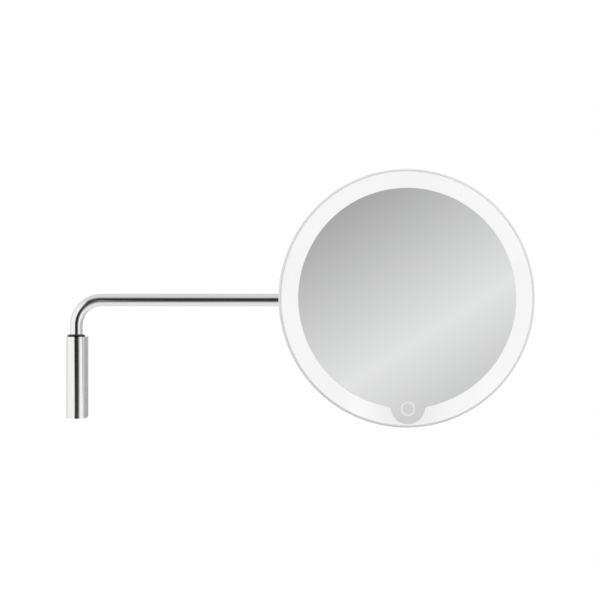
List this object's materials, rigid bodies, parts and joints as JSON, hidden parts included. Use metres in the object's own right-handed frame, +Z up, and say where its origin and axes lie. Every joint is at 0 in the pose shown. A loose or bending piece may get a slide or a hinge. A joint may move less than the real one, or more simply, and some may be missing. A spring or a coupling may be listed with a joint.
{
  "type": "extendable shaving mirror",
  "caption": "Round lit shaving mirror on an L-shaped steel tube arm that swings out from a slim wall mount, with a tilting and turning head.",
  "frame": {"origin": "centre of the wall plate's back face, where the mount meets the wall", "axes": "+Y into the wall, +Z up, +X along the folded arm, from the mount to the head"},
  "size_m": [0.3691, 0.0491, 0.2],
  "materials": {
    "polished_steel": "polished stainless steel with faint draw lines along the tube",
    "satin_silver": "pale satin silver, spun in fine circles and clear coated",
    "plain_steel": "plain turned steel",
    "brass": "turned brass",
    "gloss_black": "polished black acetal",
    "black_plastic": "matt black acetal",
    "white_plastic": "matt white moulded plastic",
    "opal_diffuser": "satin opal acrylic that glows evenly when it is lit",
    "mirror_glass": "silvered glass",
    "black_rubber": "soft matt black rubber",
    "circuit_board": "green solder mask",
    "light_board": "white solder mask with pale light chips",
    "contact_metal": "nickel plate",
    "cell_wrap": "plain blue shrink wrap",
    "red_wire": "red insulation",
    "black_wire": "black insulation"
  },
  "bodies": {
    "wall_mount": {"mount_housing": "polished_steel", "wall_plate": "plain_steel", "wall_screw_upper": "plain_steel", "wall_screw_lower": "plain_steel", "housing_clamp_screw": "plain_steel", "upper_bush": "gloss_black", "lower_bush": "black_plastic"},
    "arm": {"arm_tube": "polished_steel", "arm_spindle": "brass", "pivot_bearing_disc": "black_plastic", "pivot_washer": "brass", "pivot_spring_washer": "plain_steel", "pivot_screw": "plain_steel", "arm_end_plug": "polished_steel", "friction_ring": "black_rubber"},
    "knuckle": {"tilt_barrel": "polished_steel", "barrel_set_screw": "plain_steel"},
    "head": {"hinge_bracket": "polished_steel", "bracket_screw_1": "plain_steel", "bracket_screw_2": "plain_steel", "bracket_screw_3": "plain_steel", "bracket_screw_4": "plain_steel", "hinge_backing_plate": "plain_steel", "hinge_pin": "plain_steel", "hinge_nut": "plain_steel", "hinge_washer_upper": "black_plastic", "hinge_washer_lower": "black_plastic", "mirror_glass": "mirror_glass", "diffuser_ring": "opal_diffuser", "touch_ring": "opal_diffuser", "mirror_adhesive_pad": "black_rubber", "reflector_tray": "white_plastic", "led_ring_board": "light_board", "touch_sensor_board": "circuit_board", "touch_contact_spring": "contact_metal", "battery_tray": "black_plastic", "battery_cell_1": "cell_wrap", "battery_cell_2": "cell_wrap", "battery_cell_3": "cell_wrap", "battery_cell_4": "cell_wrap", "battery_contact_left": "contact_metal", "battery_contact_right": "contact_metal", "control_board": "circuit_board", "battery_lead_positive": "red_wire", "battery_lead_negative": "black_wire", "led_lead": "black_wire", "rear_shell": "satin_silver", "shell_screw_1": "plain_steel", "shell_screw_2": "plain_steel", "shell_screw_3": "plain_steel", "shell_screw_4": "plain_steel", "battery_door": "black_plastic", "battery_door_seal": "black_rubber", "battery_door_screw": "plain_steel"}
  },
  "joints": [
    {"name": "arm_swing", "type": "hinge", "parent": "wall_mount", "child": "arm", "pos_m": [0, -0.01, 0], "axis": [0, 0, 1], "range_deg": [-160, 0]},
    {"name": "head_tilt", "type": "hinge", "parent": "arm", "child": "knuckle", "pos_m": [0.245, -0.01, 0.0615], "axis": [1, 0, 0], "range_deg": [-60, 60]},
    {"name": "head_turn", "type": "hinge", "parent": "knuckle", "child": "head", "pos_m": [0.2588, -0.01, 0.0615], "axis": [0, 0, 1], "range_deg": [-5, 90]}
  ]
}
